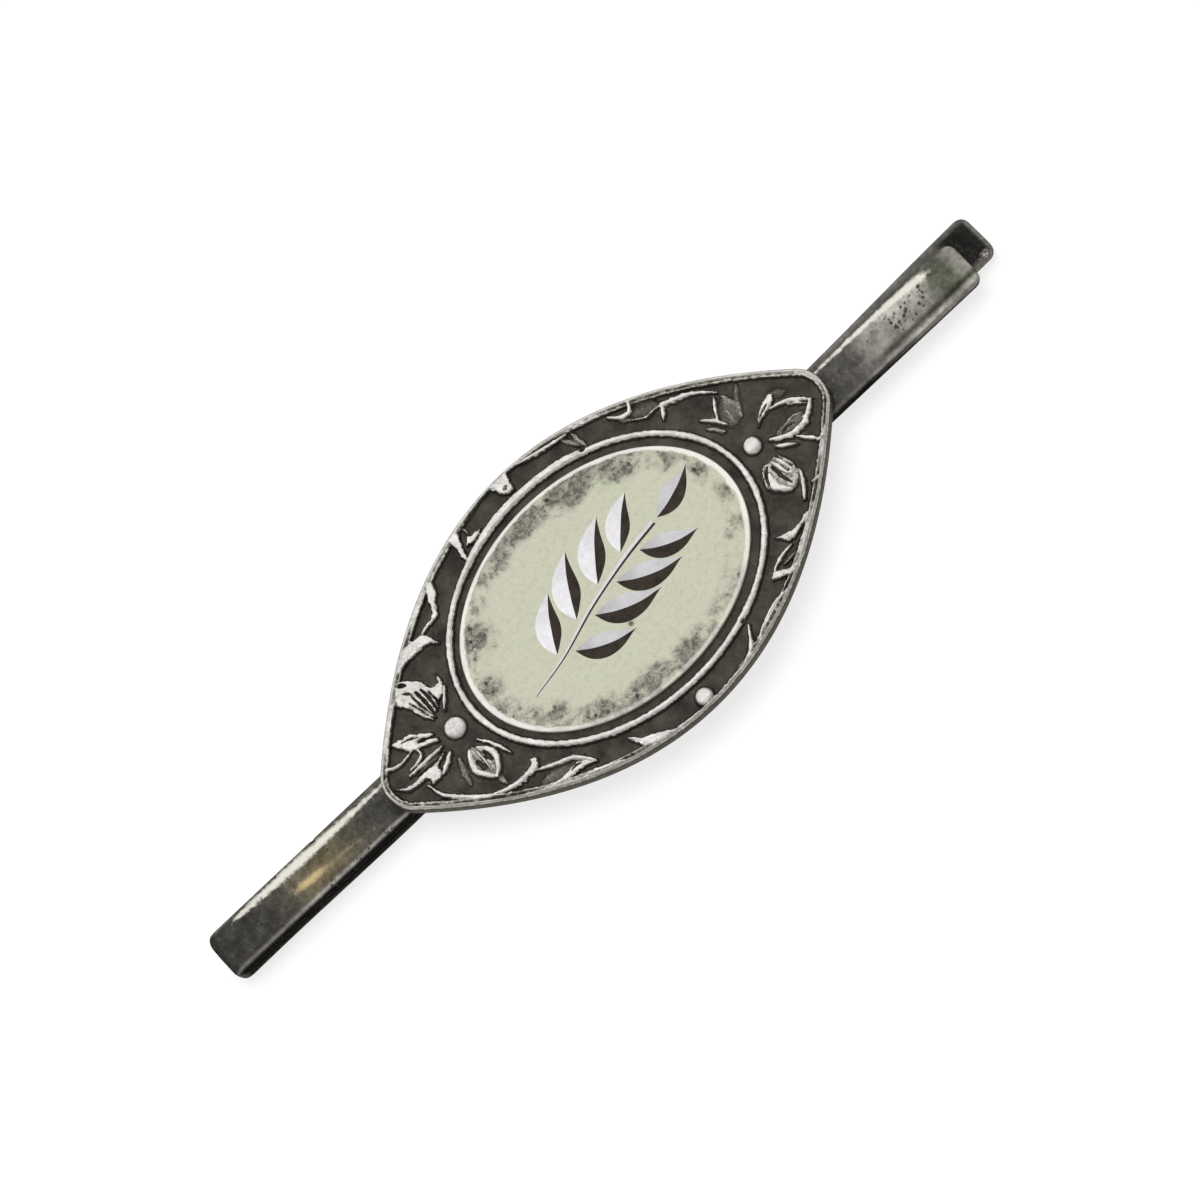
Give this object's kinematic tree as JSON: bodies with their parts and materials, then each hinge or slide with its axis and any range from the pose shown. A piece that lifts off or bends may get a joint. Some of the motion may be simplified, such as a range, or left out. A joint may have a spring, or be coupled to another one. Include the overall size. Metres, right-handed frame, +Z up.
{
  "type": "tie clip",
  "caption": "Silver slide-on tie clip: a pointed oval plate with struck flowers round a smooth oval medallion, on a folded spring strip.",
  "frame": {"origin": "under the middle of the whole clip, on the surface that its rear leg lies on", "axes": "+X along the strip from the fold to the open end, +Y across the clip, +Z up out of the plate's face"},
  "size_m": [0.052, 0.0162, 0.0035],
  "materials": {
    "oxidised_silver": "satin",
    "worn_silver": "satin",
    "solder_silver": "satin",
    "strip_silver": "satin"
  },
  "bodies": {
    "clip_front": {"face_plate": "oxidised_silver", "medallion": "worn_silver", "solder_fold_side": "solder_silver", "solder_open_side": "solder_silver", "front_leg": "strip_silver", "hairpin_bend": "strip_silver"},
    "spring_tongue": {"rear_leg_root": "strip_silver", "rear_leg_middle": "strip_silver", "rear_leg_tip": "strip_silver"}
  },
  "joints": [
    {"name": "tongue_opens", "type": "hinge", "parent": "spring_tongue", "child": "clip_front", "pos_m": [-0.02516, 0.00025, 0.00093], "axis": [0.0061, -1, 0], "range_deg": [0, 4], "stiffness_Nm_per_rad": 0.1, "springref_deg": -1.72}
  ]
}
